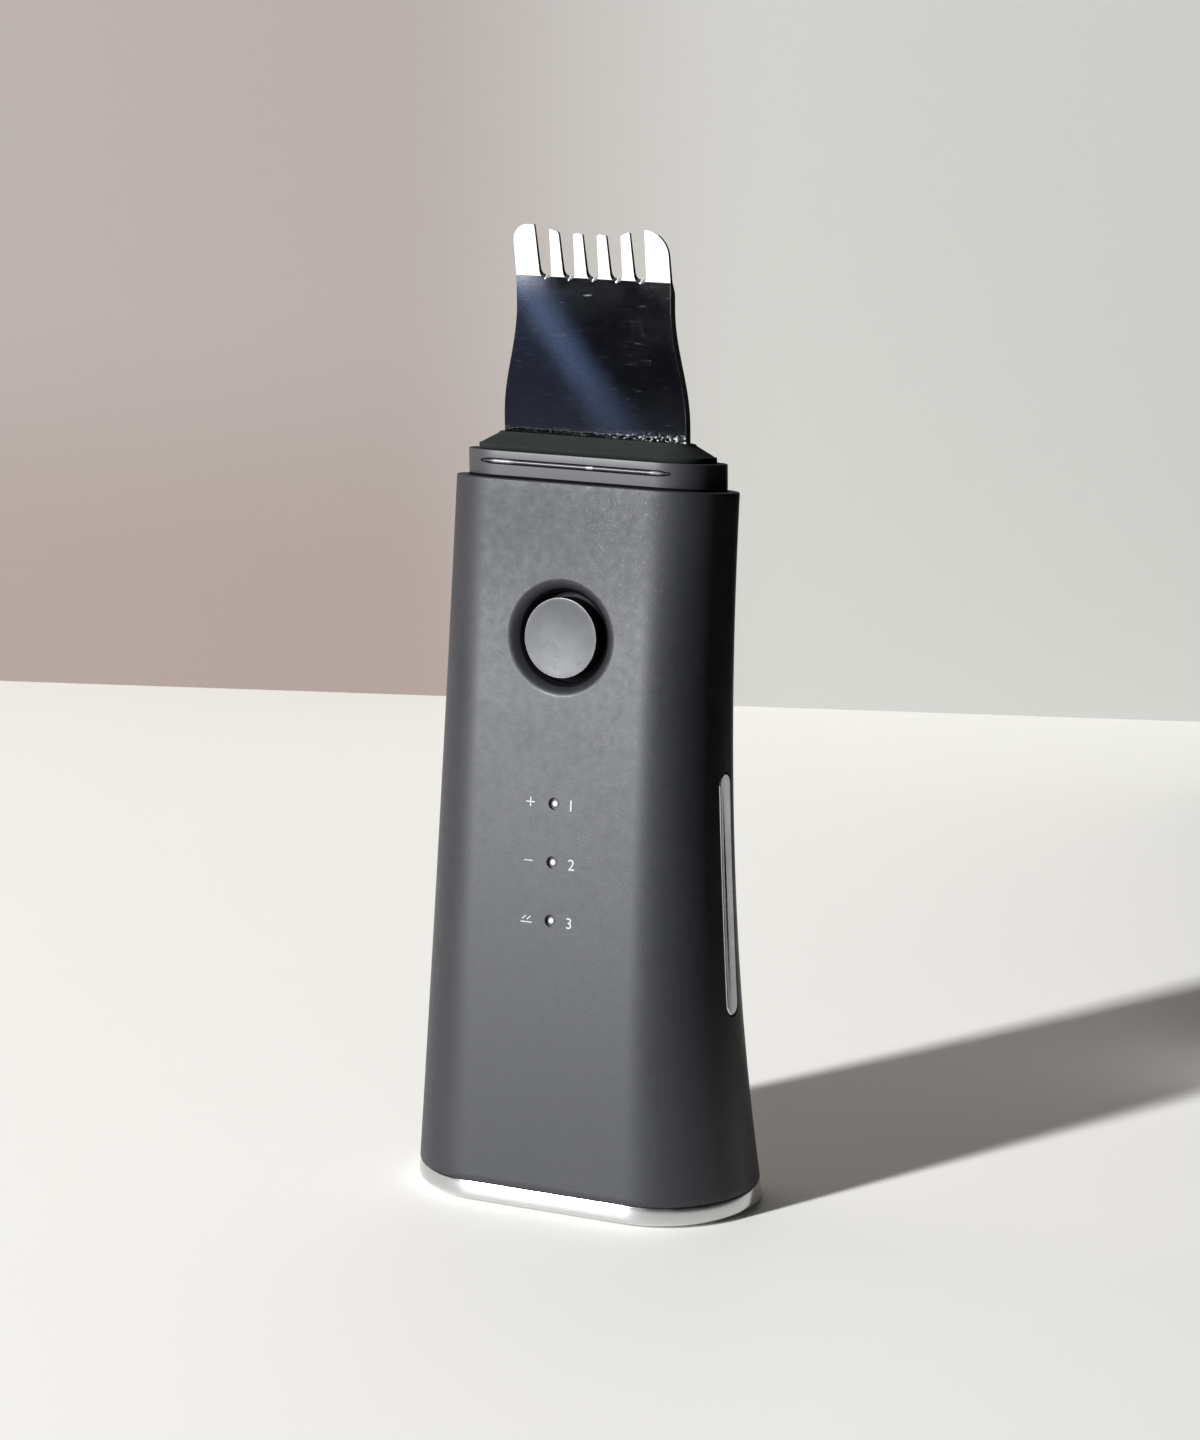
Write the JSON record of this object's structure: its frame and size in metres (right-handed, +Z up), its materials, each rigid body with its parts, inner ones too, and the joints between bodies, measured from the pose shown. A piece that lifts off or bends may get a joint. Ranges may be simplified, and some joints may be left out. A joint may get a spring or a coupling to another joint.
{
  "type": "ultrasonic skin scrubber",
  "caption": "Cordless ultrasonic skin scrubber: bowed handle on a flat base, slotted steel blade in a silicone boot, push button, lamps and side electrodes.",
  "frame": {"origin": "middle of the foot's underside, on the surface it stands on", "axes": "+Z up the handle to the blade, -Y out of the front face with the button, +X to the right seen from the front"},
  "size_m": [0.0584, 0.0311, 0.155],
  "materials": {
    "soft_touch_sleeve": "matt soft-touch coating, charcoal",
    "satin_collar": "satin moulded plastic, charcoal",
    "bright_trim": "bright plated",
    "mirror_steel": "mirror-polished stainless steel",
    "dark_silicone": "matt silicone",
    "foot_rubber": "matt rubber",
    "button_metal": "satin metal with a turned edge",
    "black_gloss": "gloss moulded plastic",
    "black_plastic": "moulded plastic",
    "switch_housing": "moulded plastic",
    "board_laminate": "green solder mask on glass laminate",
    "chip_epoxy": "moulded epoxy",
    "lamp_epoxy": "phosphor-filled resin",
    "clear_pipe": "frosted clear moulding",
    "screw_steel": "zinc plated",
    "socket_steel": "drawn stainless steel",
    "electrode_metal": "bright plated",
    "spring_brass": "gold-flashed spring alloy",
    "piezo_ceramic": "sintered ceramic with fired silver faces",
    "frame_plastic": "natural moulded plastic",
    "clamp_plastic": "glass-filled moulded plastic",
    "cushion_silicone": "soft silicone",
    "ferrite": "sintered ferrite",
    "coil_copper": "enamelled copper",
    "cell_foil": "laminated foil pouch",
    "foam_tape": "adhesive foam",
    "lead_red": "insulated wire",
    "lead_white": "insulated wire"
  },
  "bodies": {
    "handle": {"housing_sleeve": "soft_touch_sleeve", "neck_collar": "satin_collar", "blade_boot": "dark_silicone", "blade": "mirror_steel", "clamp_front": "clamp_plastic", "clamp_rear": "clamp_plastic", "clamp_cushions": "cushion_silicone", "clamp_screws": "screw_steel", "neck_screws": "screw_steel", "piezo_front": "piezo_ceramic", "piezo_rear": "piezo_ceramic", "piezo_leads": "lead_white", "switch_case": "switch_housing", "main_board": "board_laminate", "board_screws": "screw_steel", "lamp_chips": "lamp_epoxy", "light_pipe_top": "clear_pipe", "light_pipe_middle": "clear_pipe", "light_pipe_bottom": "clear_pipe", "transformer_core": "ferrite", "transformer_coil": "coil_copper", "controller_chip": "chip_epoxy", "driver_chip": "chip_epoxy", "charge_chip": "chip_epoxy", "storage_coil": "ferrite", "battery_cell": "cell_foil", "battery_pad": "foam_tape", "battery_leads": "lead_red", "chassis": "frame_plastic", "electrode_left": "electrode_metal", "electrode_right": "electrode_metal", "contact_left": "spring_brass", "contact_right": "spring_brass", "charge_shell": "socket_steel", "charge_tongue": "black_plastic", "charge_board": "board_laminate", "charge_screws": "screw_steel", "charge_leads": "lead_red", "base_plate": "bright_trim", "base_screws": "screw_steel", "foot_pad": "foot_rubber"},
    "button": {"button_cap": "button_metal", "button_carrier": "black_gloss", "switch_plunger": "black_plastic"}
  },
  "joints": [
    {"name": "button_press", "type": "slide", "parent": "handle", "child": "button", "axis": [0, 0.9928, -0.1198], "range_m": [0, 0.0005], "stiffness_N_per_m": 2500, "springref_m": -0.0003}
  ]
}
